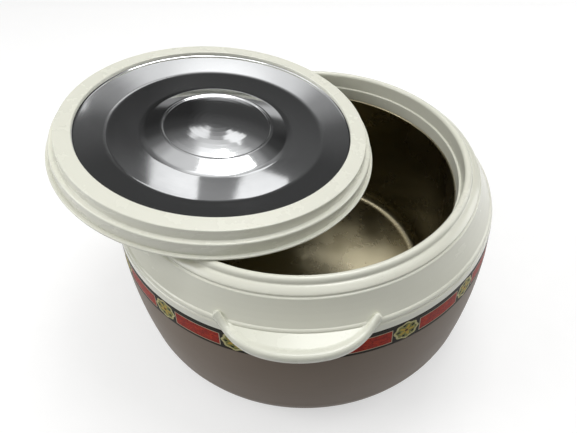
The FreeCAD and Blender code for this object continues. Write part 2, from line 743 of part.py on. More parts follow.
def reversed_run(corners):
    """The same run of corners backwards, each bend moved to its far end and turned round."""
    backwards = [corners[-1][:2]]
    for index in range(len(corners) - 1, 0, -1):
        bend = (-corners[index][2],) if len(corners[index]) == 3 else ()
        backwards.append(corners[index - 1][:2] + bend)
    return backwards


def make_plate():
    """Pressed steel plate of the lid: sloping rim, flat, raised ring and central dome."""
    return turned("lid_plate", plate_line(ZERO) + reversed_run(plate_line(S.steel)))


def make_lid_foam():
    """Foam between the lid's plate, ring and cover, with room for the knob screw."""
    gap = S.seat_play
    inner = RING_INNER - S.lid_round - S.spigot_wall - gap * 3
    head_room = S.knob_screw_head + gap
    head_end = SCREW_SEAT - S.knob_screw_thick - gap
    corners = plate_line(S.steel + gap * 2)
    corners += [
        (PLATE + S.plate_grip + gap, PLATE_BACK + gap * 2),
        (LID_FACE - S.lid_wall - gap, PLATE_BACK + gap),
        (LID_STEP - S.lid_wall - gap, S.lid_step + S.lid_wall + gap),
        (inner, S.lid_step + S.lid_wall + gap * 2),
        (inner, S.lid_plug - gap),
        (S.pad_radius + gap, COVER_UNDER - S.pad_height - gap, DOME_RADIUS),
        (head_room, SCREW_SEAT - gap),
        (head_room, head_end),
        (ZERO, head_end),
    ]
    return turned("lid_foam", corners)


def make_knob():
    """Turned knob with a hollow waist, a rounded edge and a softly domed top."""
    edge = S.knob_edge
    edge_height = PAD_TOP + S.knob_grip
    top = PAD_TOP + S.knob_height
    crown = S.knob_radius - edge
    crown_rise = S.knob_height - S.knob_grip - edge * 2
    crown_radius = (crown * crown + crown_rise * crown_rise) / (crown_rise * 2)
    hole_end = PAD_TOP + S.knob_screw_reach + S.seat_play
    corners = [
        (S.knob_hole, PAD_TOP),
        (S.knob_foot, PAD_TOP),
        (crown, edge_height - edge / 2, -S.knob_waist),
        (S.knob_radius, edge_height + edge / 2, S.knob_round),
        (crown, edge_height + edge * 2, S.knob_round),
        (ZERO, top, crown_radius),
        (ZERO, hole_end),
        (S.knob_hole, hole_end),
    ]
    return turned("lid_knob", corners)


def make_knob_screw():
    """Screw that holds the knob from inside the cover."""
    shank = S.knob_hole - S.seat_play
    corners = [
        (ZERO, SCREW_SEAT - S.knob_screw_thick),
        (S.knob_screw_head, SCREW_SEAT - S.knob_screw_thick),
        (S.knob_screw_head, SCREW_SEAT),
        (shank, SCREW_SEAT),
        (shank, PAD_TOP + S.knob_screw_reach),
        (ZERO, PAD_TOP + S.knob_screw_reach),
    ]
    return turned("knob_screw", corners)


def resting_lid():
    """Placement of the lid upside down: its dome lies on the rim bead, slid to one side."""
    bead_centre = BEAD_SIDE.value
    reach = DOME_RADIUS.value + S.rim_bead.value + S.lid_play.value
    ball_height = bead_centre + math.sqrt(reach ** 2 - S.rim_radius.value ** 2)
    ball_in_lid = DOME_TOP.value - DOME_RADIUS.value
    tilt = math.asin(S.lid_slid.value / (S.lid_plug.value - ball_in_lid))
    heading = math.radians(S.lid_heading.value)
    outward = FreeCAD.Vector(math.cos(heading), math.sin(heading), 0)
    knob_way = outward * math.sin(tilt) - UP * math.cos(tilt)
    base = UP * ball_height - knob_way * ball_in_lid
    return FreeCAD.Placement(base, FreeCAD.Rotation(UP, knob_way))


def make_pot():
    """All pieces of the pot, each a finished node."""
    moulding = make_collar()
    envelope = collar_envelope()
    through = TONGUE_INNER.value - S.wall.value
    hole = S.screw_radius.value + S.seat_play.value
    screw_holes = solid("screw_holes", screw_rods(hole, through, SKIRT.value + S.wall.value))
    head = S.screw_head.value + S.seat_play.value
    head_start = TONGUE_INNER.value - S.screw_head_thick.value - S.seat_play.value * 2
    head_rooms = solid("head_rooms", screw_rods(head, head_start, TONGUE_INNER.value))
    return [
        make_shell(),
        make_band(),
        subtracted("body_foam", make_body_foam(), head_rooms),
        make_bowl(),
        subtracted("collar", moulding, screw_holes),
        make_handle("handle_front", envelope, 0),
        make_handle("handle_back", envelope, 180),
        make_screws(),
        make_cap(),
    ]


def make_lid():
    """All pieces of the lid, laid upside down on the rim."""
    pieces = [
        make_lid_ring(),
        make_cover(),
        make_plate(),
        make_lid_foam(),
        make_knob(),
        make_knob_screw(),
    ]
    for piece in pieces:
        piece.Placement = resting_lid()
    return pieces


def check_document():
    """Stop if any object of the document failed to build."""
    for item in doc.Objects:
        if "Invalid" in item.State or "Error" in item.State:
            raise RuntimeError(item.Name + " failed: " + str(item.State))


def write_parts(pieces):
    """Write each finished piece to parts/NODE.step after checking it."""
    os.makedirs("parts", exist_ok=True)
    for piece in pieces:
        shape = piece.Shape
        if shape.isNull() or not shape.isValid() or not shape.Solids:
            raise RuntimeError(piece.Label + " has no valid solid")
        shape.exportStep("parts/" + piece.Label + ".step")
        print(piece.Label, len(shape.Solids), "solids", round(shape.Volume / 1000, 2), "cm3")


all_pieces = make_pot() + make_lid()
doc.recompute()
check_document()
write_parts(all_pieces)
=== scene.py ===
import math

import bmesh
import bpy
import numpy as np
from bpy.props import FloatProperty, FloatVectorProperty, IntProperty, PointerProperty
from mathutils import Matrix, Vector


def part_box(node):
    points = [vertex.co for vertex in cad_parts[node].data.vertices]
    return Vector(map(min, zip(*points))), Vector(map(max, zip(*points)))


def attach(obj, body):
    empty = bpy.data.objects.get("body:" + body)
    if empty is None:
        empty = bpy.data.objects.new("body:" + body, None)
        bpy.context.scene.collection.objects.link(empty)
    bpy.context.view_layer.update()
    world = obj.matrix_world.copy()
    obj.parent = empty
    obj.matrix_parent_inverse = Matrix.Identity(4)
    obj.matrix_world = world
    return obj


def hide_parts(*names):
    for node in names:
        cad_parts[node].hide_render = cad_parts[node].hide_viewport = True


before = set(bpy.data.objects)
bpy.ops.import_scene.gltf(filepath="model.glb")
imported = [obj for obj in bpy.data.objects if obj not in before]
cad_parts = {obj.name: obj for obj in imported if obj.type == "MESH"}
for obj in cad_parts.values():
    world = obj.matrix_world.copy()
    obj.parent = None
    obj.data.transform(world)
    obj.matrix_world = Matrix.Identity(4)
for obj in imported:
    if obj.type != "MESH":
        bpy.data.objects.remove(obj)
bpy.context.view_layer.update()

bl_info = {
    "name": "Insulated chapati casserole",
    "version": (1, 0, 0),
    "blender": (4, 5, 0),
    "location": "View3D > Sidebar > Casserole",
    "description": "Builds an insulated casserole with its loose lid lying upside down on the rim",
    "category": "Object",
}

MM = 0.001
COLLAR_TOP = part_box("collar")[1].z
BAND_LOW, BAND_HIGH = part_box("decor_band")

# Sizes in millimetres that more than one place uses
DOME_BALL = 384.03
LID_SHEET = 0.6

# How finely curves are cut up: each arc step, the points of a rounding, and one turn of the band
DEGREES_PER_STEP = 7
MM_PER_STEP = 4
ROUNDING_POINTS = 6
BAND_FACETS = 512

# Lamps: name, place, point looked at, size, and the setting that holds the power
LAMPS = (
    ("key_lamp", (0.12, 0.26, 1.0), (0, 0, 0.08), 0.42, "key_power"),
    ("side_lamp", (0.95, 0.25, 0.42), (0, 0, 0.08), 0.5, "side_power"),
    ("fill_lamp", (-0.95, -0.18, 0.8), (0, 0, 0.1), 0.5, "fill_power"),
    ("left_window", (-0.19, 0.76, 0.93), (-0.05, 0, 0.14), 0.14, "window_power"),
    ("right_window", (0.07, 0.76, 0.93), (-0.05, 0, 0.14), 0.14, "window_power"),
)

# Light of the room: sine of the height above the horizon, and level
ROOM_LEVELS = (
    (0.0, 0.10), (0.16, 0.12), (0.22, 0.42), (0.28, 0.40), (0.34, 0.04), (0.50, 0.04),
    (0.63, 0.07), (0.73, 0.22), (0.80, 0.62), (0.86, 1.05), (0.93, 1.15), (1.0, 1.2),
)
FLOOR_HALF = 4
FLOOR_GLOW = 0.55


# Sizes and colours that a user may change

def length(name, description, default):
    """A length in metres, shown in the scene's unit."""
    return FloatProperty(name=name, description=description, default=default, min=0.0,
                         unit="LENGTH", precision=5)


def angle(name, description, degrees):
    """An angle, given in degrees."""
    return FloatProperty(name=name, description=description, default=math.radians(degrees),
                         unit="ROTATION")


def power(name, description, default):
    """Power of a lamp in watts."""
    return FloatProperty(name=name, description=description, default=default, min=0.0,
                         unit="POWER")


def colour(name, description, default):
    """A scene-linear colour."""
    return FloatVectorProperty(name=name, description=description, default=default, min=0.0,
                               max=1.0, size=3, subtype="COLOR")


class PotSizes(bpy.types.PropertyGroup):
    """Sizes of the pot's turned pieces."""
    rim_height: length("Rim height", "Top of the rim above the table", COLLAR_TOP)
    rim_radius: length("Rim radius", "Axis to the middle of the rim bead", 100.0 * MM)
    band_low: length("Band foot", "Lower edge of the printed band above the table",
                     BAND_LOW.z)
    band_high: length("Band top", "Upper edge of the printed band above the table",
                      BAND_HIGH.z)
    around: IntProperty(name="Steps round", description="Facets in one full turn", default=288,
                        min=24)


class LidSizes(bpy.types.PropertyGroup):
    """Where and how the loose lid lies on the rim."""
    dome_radius: length("Dome radius", "Radius of the ball that the lid's dome is cut from",
                        DOME_BALL * MM)
    dome_top: length("Dome top", "Plug face up to the top of the dome", 26.9 * MM)
    plug: length("Plug height", "Plug face up to the underside of the lip", 12.6 * MM)
    slid: length("Slid", "How far the lid is slid off the pot's axis", 53.7 * MM)
    play: length("Play", "Clearance between dome and rim", 0.3 * MM)
    bead: length("Rim bead", "Radius of the rounded rim", 2.2 * MM)
    heading: angle("Heading", "Direction in which the lid is slid", 172.0)


class Finishes(bpy.types.PropertyGroup):
    """Colours of the finishes, and how the ornament repeats."""
    cream: colour("Cream plastic", "Collar", (0.80, 0.80, 0.69))
    handle_cream: colour("Handle plastic", "Handles", (0.74, 0.745, 0.64))
    warm_cream: colour("Warm cream plastic", "Lid mouldings", (0.845, 0.845, 0.735))
    taupe: colour("Taupe plastic", "Outer shell and filling cap", (0.20, 0.155, 0.118))
    # Olive-brown tint of the steel: painted shade of the bowl under the lid and painted reflection
    # of the room
    bowl_steel: colour("Bowl steel", "Brushed steel of the bowl", (0.43, 0.385, 0.265))
    mirror_steel: colour("Mirror steel", "Polished steel of the lid", (0.82, 0.83, 0.84))
    field_red: colour("Field red", "Red field of the printed band", (0.33, 0.018, 0.010))
    ornament_gold: colour("Ornament gold", "Flower in each rosette", (0.52, 0.36, 0.06))
    rosettes: IntProperty(name="Rosettes", description="Rosettes around the band", default=17,
                          min=1)
    rosette_angle: angle("First rosette", "Direction of one rosette from the axis", -62.8)


class Staging(bpy.types.PropertyGroup):
    """Camera, lamps and the light of the room."""
    camera_place: FloatVectorProperty(name="Camera", description="Where the camera stands",
                                      default=(0.00797, -0.22826, 0.2935), size=3,
                                      subtype="TRANSLATION", unit="LENGTH", precision=5)
    camera_heading: angle("Heading", "Turn of the camera about the vertical", -4.54)
    camera_pitch: angle("Pitch", "How far the camera looks down", 44.97)
    camera_roll: angle("Roll", "Turn of the camera about its view", 2.95)
    focal_length: FloatProperty(name="Focal length", description="On a sensor 36 mm wide",
                                default=28.08, unit="CAMERA")
    key_power: power("Key lamp", "Power of the large lamp above", 3.3)
    side_power: power("Side lamp", "Power of the lamp on the right", 2.0)
    fill_power: power("Fill lamp", "Power of the lamp on the left", 4.4)
    window_power: power("Window", "Power of each small window behind", 0.05)
    sky: FloatProperty(name="Sky", description="Strength of the soft room's light", default=1.0,
                       min=0.0)


# Profiles: corners with radius and height in millimetres, the rounding, and where it isn't
# straight, the bend of the run up to the corner. Closed profiles go counter-clockwise.

def collar_profile():
    """Collar from the throat out under the shoulder, round the tongue and skirt, over the rim."""
    return (
        (98.7, -18.6, 0.2), (98.7, -10.2, 0.3), (100.1, -7.9, 0.3), (100.1, -5.43, 0.4),
        (105.62, -7.43, 0.5), (106.08, -8.81, 0.4), (114.1, -20.58, 1.0), (114.1, -33.1, 0.4),
        (116.4, -33.1, 0.4), (116.4, -26.6, 0.0), (119.0, -26.6, 0.35), (118.4, -22.8, 0.1),
        (117.85, -22.1, 0.0, 1.0), (117.35, -21.9, 0.12), (117.65, -21.4, 0.12),
        (116.0, -19.2, 0.35, 2.2), (108.4, -7.2, 0.2, -90.0), (107.3, -6.2, 0.0, 1.2),
        (107.0, -6.0, 0.1), (107.0, -4.9, 0.3), (103.1, -2.9, 0.0, 9.0),
        (102.2, -2.2, 0.0, -1.0), (100.0, 0.0, 0.0, 2.2), (97.8, -2.2, 0.0, 2.2),
        (97.5, -10.2, 0.25), (97.2, -10.2, 0.0), (96.4, -11.0, 0.0, 0.8), (96.4, -18.6, 0.2),
    )


def shell_profile():
    """Shell from the filling hole over the foot ring, up the belly and back inside."""
    return (
        (26.0, 4.5, 0.2), (31.15, 4.5, 0.1), (31.15, 3.0, 0.3), (83.5, 3.0, 0.8),
        (85.0, 0.0, 0.5), (90.0, 0.0, 0.8), (120.4, 31.0, 0.0, 31.0),
        (120.65, 84.2, 0.12, 330.0), (120.15, 84.2, 0.05), (118.65, 98.4, 0.1),
        (116.55, 98.4, 0.2), (116.55, 91.75, 0.5), (118.2, 81.9, 0.5),
        (118.1, 31.0, 0.0, -327.7), (90.0, 2.3, 0.3, -28.7), (85.0, 2.3, 0.4), (83.5, 5.3, 0.4),
        (33.3, 5.3, 0.4), (31.0, 6.8, 0.4), (26.0, 6.8, 0.2),
    )


def bowl_profile():
    """Pressed bowl: underside, outside of the wall, flange, lip, inside of the wall and floor."""
    return (
        (0.0, 14.4, 0.0), (85.0, 14.4, 0.0), (94.6, 24.0, 0.0, 9.6), (96.2, 105.8, 0.3),
        (101.0, 105.8, 0.1), (101.0, 106.4, 0.1), (96.6, 106.4, 0.0), (95.6, 105.4, 0.0, 1.0),
        (94.0, 24.0, 0.0), (85.0, 15.0, 0.0, -9.0), (0.0, 15.0, 0.0),
    )


def ring_profile():
    """Lid ring with the knob up: flat face, step, flange and skirt, then back along the inside."""
    return (
        (83.7, 0.0, 0.0, 0.7), (91.9, 0.0, 0.0), (92.6, 0.7, 0.0, 0.7), (93.4, 4.9, 0.0),
        (94.1, 5.6, 0.0, -0.7), (95.52, 5.6, 0.0), (96.5, 6.58, 0.0, 0.98), (97.2, 12.6, 0.25),
        (95.0, 12.6, 0.2), (94.3, 7.8, 0.5), (91.2, 7.8, 0.5), (90.4, 2.2, 0.5),
        (83.0, 2.2, 0.1), (83.0, 0.7, 0.0),
    )


def cover_profile():
    """Domed cover with its lip and its spigot."""
    return (
        (94.15, 9.8, 0.3), (94.15, 12.6, 0.2), (98.7, 12.6, 0.0), (99.4, 13.3, 0.0, 0.7),
        (98.7, 14.0, 0.0, 0.7), (1.6, 26.9, 0.2, DOME_BALL), (1.6, 24.7, 0.2),
        (92.55, 12.6, 0.3, -DOME_BALL), (92.55, 9.8, 0.3),
    )


def pad_profile():
    """Flat pad on the dome that the knob stands on."""
    return ((1.6, 24.3, 0.1), (15.0, 24.3, 0.3), (15.0, 27.3, 0.35), (1.6, 27.3, 0.1))


def plate_line(shift, backwards):
    """Pressed line of the lid's steel plate from middle to edge or back, moved up by shift."""
    line = (
        (0.0, 2.2, 0.0), (32.6, 5.0, 0.5, 191.2), (33.4, 4.2, 0.45), (34.6, 4.3, 0.5),
        (44.0, 6.75, 0.9), (46.5, 7.0, 1.0), (66.0, 7.0, 1.6), (82.7, 3.0, 0.6),
        (83.7, 2.2, 0.4), (88.0, 2.2, 0.1),
    )
    moved = [(corner[0], corner[1] + shift) + tuple(corner[2:]) for corner in line]
    if not backwards:
        return moved
    bends = [corner[3] if len(corner) == 4 else 0.0 for corner in moved]
    after = bends[1:] + [0.0]
    return [corner[:3] + (-bend,) for corner, bend in zip(moved[::-1], after[::-1])]


def knob_profile():
    """Knob with a hollow waist, a rounded edge and a low crown."""
    return (
        (1.6, 27.3, 0.2), (13.5, 27.3, 0.3), (18.9, 35.5, 0.0, -13.0), (21.5, 37.84, 0.0, 3.38),
        (18.9, 41.48, 0.0, 3.38), (0.0, 43.8, 0.0, 78.1), (0.0, 38.45, 0.0), (1.6, 38.45, 0.2),
    )


# Turned surfaces

def arc_points(start, end, bend):
    """Points after start up to end on an arc of radius |bend|, turning left where it is positive.

    A bend too tight for its chord is opened to a half circle.
    """
    chord = end - start
    span = np.hypot(*chord)
    radius = max(abs(bend), span / 2 * 1.0001)
    left = np.array((-chord[1], chord[0])) / span * math.copysign(1.0, bend)
    centre = (start + end) / 2 + left * math.sqrt(radius ** 2 - (span / 2) ** 2)
    first = math.atan2(*(start - centre)[::-1])
    sweep = math.copysign(2 * math.asin(span / 2 / radius), bend)
    steps = int(max(math.degrees(abs(sweep)) / DEGREES_PER_STEP,
                    abs(sweep) * radius / MM_PER_STEP, 2)) + 1
    angles = first + sweep * np.arange(1, steps + 1) / steps
    return centre + radius * np.stack((np.cos(angles), np.sin(angles)), 1)


def rounded_run(corners, closed):
    """Smooth run through the corners.

    Each rounding swaps a corner C for the curve (1-s)^2 A + 2s(1-s) C + s^2 B, whose ends A and B
    lie at the rounding's distance from C on both sides. Runs over flat_run get a point near each
    end, so that flat faces keep their shading beside a rounding.
    """
    longest_share, flat_run, edge_strip, widest_share = 0.45, 1.0, 0.18, 0.3
    points, sizes = [], []
    for index, corner in enumerate(corners):
        here = np.array(corner[:2], float)
        if len(corner) == 4 and corner[3] and (index or closed):
            before = np.array(corners[index - 1][:2], float)
            arc = arc_points(before, here, corner[3])[:-1]
            points.extend(arc)
            sizes.extend([0.0] * len(arc))
        points.append(here)
        sizes.append(corner[2])
    points, sizes = np.array(points), np.array(sizes)
    back = np.roll(points, 1, 0) - points
    ahead = np.roll(points, -1, 0) - points
    back_length = np.hypot(*back.T)[:, None]
    ahead_length = np.hypot(*ahead.T)[:, None]
    start_reach = np.minimum(sizes[:, None], back_length * longest_share)
    start = points + back / back_length * start_reach
    end_reach = np.minimum(sizes[:, None], ahead_length * longest_share)
    end = points + ahead / ahead_length * end_reach
    s = np.linspace(0, 1, ROUNDING_POINTS)[None, :, None]
    curves = ((1 - s) ** 2 * start[:, None] + 2 * s * (1 - s) * points[:, None]
              + s ** 2 * end[:, None])
    keep = (sizes[:, None] > 0) | (np.arange(ROUNDING_POINTS)[None] == 0)
    run = curves[keep]
    step = np.roll(run, -1, 0) - run
    size = np.hypot(*step.T)
    if not closed:
        size[-1] = 0.0
    near = np.minimum(edge_strip / np.maximum(size, 0.01), widest_share)
    fractions = np.stack((np.zeros_like(near), near, 1 - near), 1)
    wanted = np.stack((np.full(len(size), True), size > flat_run, size > flat_run), 1)
    return (run[:, None] + fractions[..., None] * step[:, None])[wanted]


def turned_mesh(name, run, around, closed, offset=0.0):
    """Surface of revolution: (r cos a, r sin a, z) for each point (r, z) of the run and angle a.

    The run is in millimetres, offset in metres.
    """
    angles = np.arange(around) * 2 * math.pi / around
    radius, height = run[:, 0] * MM, run[:, 1] * MM + offset
    grid = np.empty((len(run), around, 3))
    grid[..., 0] = radius[:, None] * np.cos(angles)
    grid[..., 1] = radius[:, None] * np.sin(angles)
    grid[..., 2] = height[:, None]
    rows = np.arange(len(run) if closed else len(run) - 1)
    row, column = np.meshgrid(rows, np.arange(around), indexing="ij")
    next_row, next_column = (row + 1) % len(run), (column + 1) % around
    corner = (row * around + column, row * around + next_column,
              next_row * around + next_column, next_row * around + column)
    quads = np.stack(corner, -1).reshape(-1, 4)
    mesh = bpy.data.meshes.new(name)
    mesh.from_pydata(grid.reshape(-1, 3).tolist(), [], quads.tolist())
    across = np.stack((column, column + 1, column + 1, column), -1) / around
    along = np.stack((row, row, row + 1, row + 1), -1) / max(len(rows), 1)
    uv = mesh.uv_layers.new(name="turn")
    uv.data.foreach_set("uv", np.stack((across, along), -1).astype(np.float32).ravel())
    mesh.shade_smooth()
    return mesh


def without_poles(mesh):
    """Join the points that lie together on the axis, so that the surface closes there."""
    work = bmesh.new()
    work.from_mesh(mesh)
    bmesh.ops.remove_doubles(work, verts=work.verts, dist=1e-7)
    work.to_mesh(mesh)
    work.free()
    mesh.shade_smooth()
    return mesh


def turned_piece(name, corners, around, closed=True, offset=0.0):
    """A turned object from a profile in millimetres, raised by offset in metres."""
    mesh = turned_mesh(name, rounded_run(corners, closed), around, closed, offset)
    if min(corner[0] for corner in corners) < 0.01:
        without_poles(mesh)
    piece = bpy.data.objects.new(name, mesh)
    bpy.context.scene.collection.objects.link(piece)
    return piece


def handle_line():
    """Middle line of half a handle's rolled edge: direction, radius and height in millimetres.

    From the front it follows an arc of radius curve - h over the angle sweep, then one of radius
    side - h over the angle turn, climbs on an arc of radius climb up to the angle lean and goes on
    straight; h is half the edge's thickness. Directions count from the handle's middle.
    """
    front, drop, thickness = 131.0, 20.0, 4.2
    curve, side, climb, straight = 62.0, 36.0, 12.0, 4.0
    sweep, turn, lean = np.radians((15.0, 31.0, 38.0))
    level_steps, climb_steps = 24, 12
    half = thickness / 2
    first = np.linspace(0.0, sweep, level_steps)
    x = (curve - half) * np.sin(first)
    y = front - half - (curve - half) * (1 - np.cos(first))
    second = np.linspace(sweep, sweep + turn, level_steps)[1:]
    x = np.append(x, x[-1] + (side - half) * (np.sin(second) - math.sin(sweep)))
    y = np.append(y, y[-1] - (side - half) * (math.cos(sweep) - np.cos(second)))
    level = np.zeros(x.size)
    up = np.linspace(0.0, lean, climb_steps)[1:]
    along = np.append(climb * np.sin(up), climb * math.sin(lean) + straight * math.cos(lean))
    rise = np.append(climb * (1 - np.cos(up)),
                     climb * (1 - math.cos(lean)) + straight * math.sin(lean))
    x = np.append(x, x[-1] + along * math.cos(sweep + turn))
    y = np.append(y, y[-1] - along * math.sin(sweep + turn))
    return np.arctan2(x, y), np.hypot(x, y), np.append(level, rise) - drop


def handle_seat_mesh(name, turned, offset):
    """Soft top of a handle: a fillet off the shoulder, a level stretch, and a rise to the crown.

    Over radius r the height is the smooth maximum of the shoulder s(r) and the plate p, that is
    max(s, p) + (k - |s - p|)^2 / 4k where they are nearer than k. Near the edge it goes over to
    the crown with 3t^2 - 2t^3, and at both ends it sinks in the same way. s(r) is an arc that
    bulges out where the collar's is hollow, so the inner edge stands about 0.6 mm above the
    collar. turned is -1 for the back handle; offset is in metres.
    """
    plate, blend, crown_width = -20.46, 3.0, 3.4
    inner_radius, shoulder_run = 114.6, 8.0
    end_gap, end_fade = 0.012, 0.04
    lift, crown_lift, sink, thickness = 0.03, 0.01, 0.5, 1.0
    steps_along, steps_across = 141, 33
    shoulder = arc_points(np.array((108.4, -7.2)), np.array((116.0, -19.2)), -90.0)
    last, foot = shoulder[-2:]
    end_slope = (foot[1] - last[1]) / (foot[0] - last[0])
    shoulder = np.vstack((shoulder, foot + (shoulder_run, shoulder_run * end_slope)))
    line_angle, line_radius, line_height = handle_line()
    end_angle = line_angle[-1]
    angles = np.linspace(-end_angle + end_gap, end_angle - end_gap, steps_along)
    crown_radius = np.interp(abs(angles), line_angle, line_radius)[:, None]
    crown = np.interp(abs(angles), line_angle, line_height)[:, None]
    start = np.maximum(inner_radius, crown_radius - crown_width)
    radius = start + np.linspace(0, 1, steps_across) * (crown_radius - start)
    slope = np.interp(radius, shoulder[:, 0], shoulder[:, 1])
    near = np.maximum(blend - abs(slope - plate), 0.0)
    base = np.maximum(slope, plate) + near ** 2 / (4 * blend) + lift
    t = np.clip((radius - crown_radius + crown_width) / crown_width, 0, 1)
    edge = np.clip((end_angle - abs(angles)) / end_fade, 0, 1)[:, None]
    fade = edge ** 2 * (3 - 2 * edge)
    rise = (crown + crown_lift - base) * t ** 2 * (3 - 2 * t) * fade
    top = base + rise - sink * (1 - fade)
    across, along = radius * np.sin(angles)[:, None], -radius * np.cos(angles)[:, None]
    sheets = [np.stack((across, along, height), -1) for height in (top, top - thickness)]
    points = np.concatenate(sheets).reshape(-1, 3) * MM * (turned, turned, 1.0)
    points += (0.0, 0.0, offset)

    # Faces of both sheets, and of the wall round their rim
    long, wide = radius.shape
    row, column = np.meshgrid(np.arange(long - 1), np.arange(wide - 1), indexing="ij")
    first = (row * wide + column).ravel()
    upper = np.stack((first, first + 1, first + wide + 1, first + wide), 1)[:, ::-1]
    lower = upper[:, ::-1] + long * wide
    rim = np.concatenate((
        np.arange(wide - 1), np.arange(long - 1) * wide + wide - 1,
        (long - 1) * wide + np.arange(wide - 1, 0, -1), np.arange(long - 1, 0, -1) * wide))
    after = np.roll(rim, -1)
    sides = np.stack((rim, after, after + long * wide, rim + long * wide), 1)
    mesh = bpy.data.meshes.new(name)
    mesh.from_pydata(points.tolist(), [], np.concatenate((upper, lower, sides)).tolist())
    mesh.shade_smooth()
    return mesh


def lid_matrix(lid, pot):
    """Place of the lid upside down: its dome lies on the rim like a ball on a ring, slid aside."""
    reach = lid.dome_radius + lid.bead + lid.play
    ball_height = pot.rim_height - lid.bead + math.sqrt(reach ** 2 - pot.rim_radius ** 2)
    ball_in_lid = lid.dome_top - lid.dome_radius
    tilt = math.asin(lid.slid / (lid.plug - ball_in_lid))
    outward = Vector((math.cos(lid.heading), math.sin(lid.heading), 0))
    knob_way = outward * math.sin(tilt) - Vector((0, 0, 1)) * math.cos(tilt)
    base = Vector((0, 0, ball_height)) - knob_way * ball_in_lid
    turn = Vector((0, 0, 1)).rotation_difference(knob_way).to_matrix().to_4x4()
    return Matrix.Translation(base) @ turn


def finish_piece(piece, body, nodes, material):
    """Give a new piece its finish, its body and the CAD nodes that it stands for."""
    piece.data.materials.clear()
    piece.data.materials.append(material)
    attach(piece, body)
    if nodes:
        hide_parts(*nodes)


# Nodes

class Nodes:
    """Short ways to add and join nodes in one tree."""

    def __init__(self, tree):
        self.tree = tree

    def add(self, kind, **settings):
        """A new node with these settings."""
        node = self.tree.nodes.new(kind)
        for name, value in settings.items():
            setattr(node, name, value)
        return node

    def feed(self, node, name, value):
        """Link a socket to an input, or set the input to a value."""
        socket = node.inputs[name]
        if isinstance(value, bpy.types.NodeSocket):
            self.tree.links.new(value, socket)
        else:
            socket.default_value = value

    def fill(self, node, values):
        """Feed several inputs by name."""
        for name, value in values.items():
            self.feed(node, name, value)

    def maths(self, operation, first, second=0.0, third=0.0, clamp=False):
        """One operation on numbers."""
        node = self.add("ShaderNodeMath", operation=operation, use_clamp=clamp)
        self.fill(node, {0: first, 1: second, 2: third})
        return node.outputs[0]

    def vector(self, operation, first, second=(0.0, 0.0, 0.0)):
        """One operation on vectors."""
        node = self.add("ShaderNodeVectorMath", operation=operation)
        self.fill(node, {0: first, 1: second})
        return node.outputs["Value" if operation == "LENGTH" else "Vector"]

    def scaled(self, vector, factor):
        """A vector or colour times a factor."""
        node = self.add("ShaderNodeVectorMath", operation="SCALE")
        self.fill(node, {0: vector, "Scale": factor})
        return node.outputs["Vector"]

    def split(self, vector):
        """The three parts of a vector."""
        node = self.add("ShaderNodeSeparateXYZ")
        self.feed(node, 0, vector)
        return node.outputs

    def joined(self, first, second):
        """A vector of two parts."""
        node = self.add("ShaderNodeCombineXYZ")
        self.fill(node, {0: first, 1: second})
        return node.outputs[0]

    def noise(self, vector, scale, detail=2.0, roughness=0.5):
        """Noise from 0 to 1."""
        node = self.add("ShaderNodeTexNoise")
        self.fill(node, {"Vector": vector, "Scale": scale, "Detail": detail,
                         "Roughness": roughness})
        return node.outputs["Fac"]

    def span(self, value, low, high, to_low=0.0, to_high=1.0):
        """The value's way from low to high, mapped to another range."""
        node = self.add("ShaderNodeMapRange")
        self.fill(node, {"Value": value, "From Min": low, "From Max": high,
                         "To Min": to_low, "To Max": to_high})
        return node.outputs["Result"]

    def mix(self, factor, first, second):
        """Mix of two colours."""
        node = self.add("ShaderNodeMix", data_type="RGBA")
        self.feed(node, 0, factor)
        for index, value in ((6, first), (7, second)):
            if not isinstance(value, bpy.types.NodeSocket):
                value = tuple(value)[:3] + (1.0,)
            self.feed(node, index, value)
        return node.outputs[2]

    def bump(self, height, strength, distance):
        """Normal of a surface raised by a height."""
        node = self.add("ShaderNodeBump")
        self.fill(node, {"Strength": strength, "Distance": distance, "Height": height})
        return node.outputs["Normal"]


def new_group(name, inputs, outputs):
    """An empty node group with named sockets, and its input and output nodes."""
    group = bpy.data.node_groups.new(name, "ShaderNodeTree")
    for title, kind, default in inputs:
        socket = group.interface.new_socket(name=title, in_out="INPUT", socket_type=kind)
        if default is not None:
            socket.default_value = default
    for title, kind in outputs:
        group.interface.new_socket(name=title, in_out="OUTPUT", socket_type=kind)
    made = Nodes(group)
    return group, made, made.add("NodeGroupInput"), made.add("NodeGroupOutput")


VALUE, COLOUR, VECTOR = "NodeSocketFloat", "NodeSocketColor", "NodeSocketVector"


def moulded_plastic():
    """Moulded plastic: slow tone change, faint flow marks and a fine orange-peel height."""
    group, n, given, result = new_group(
        "moulded_plastic",
        (("Place", VECTOR, None), ("Colour", COLOUR, (0.8, 0.8, 0.7, 1)), ("Tone", VALUE, 0.06),
         ("Roughness", VALUE, 0.3), ("Grain", VALUE, 1.0)),
        (("Colour", COLOUR), ("Roughness", VALUE), ("Height", VALUE)))
    place = given.outputs["Place"]
    slow = n.noise(place, 18.0, 3.0, 0.55)
    smears = n.noise(n.vector("MULTIPLY", place, (1.0, 1.0, 3.2)), 46.0, 4.0, 0.6)
    fine = n.noise(place, 1500.0, 2.0, 0.5)
    peel = n.noise(place, 380.0, 1.0, 0.4)
    tone = n.span(slow, 0.15, 0.85, -1.0, 1.0)
    tone = n.maths("MULTIPLY_ADD", tone, given.outputs["Tone"], 1.0)
    rough = n.span(smears, 0.15, 0.85, -0.02, 0.04)
    grain = n.maths("MULTIPLY_ADD", fine, 0.35, peel)
    n.fill(result, {
        "Colour": n.scaled(given.outputs["Colour"], tone),
        "Roughness": n.maths("ADD", rough, given.outputs["Roughness"]),
        "Height": n.maths("MULTIPLY", grain, given.outputs["Grain"]),
    })
    return group


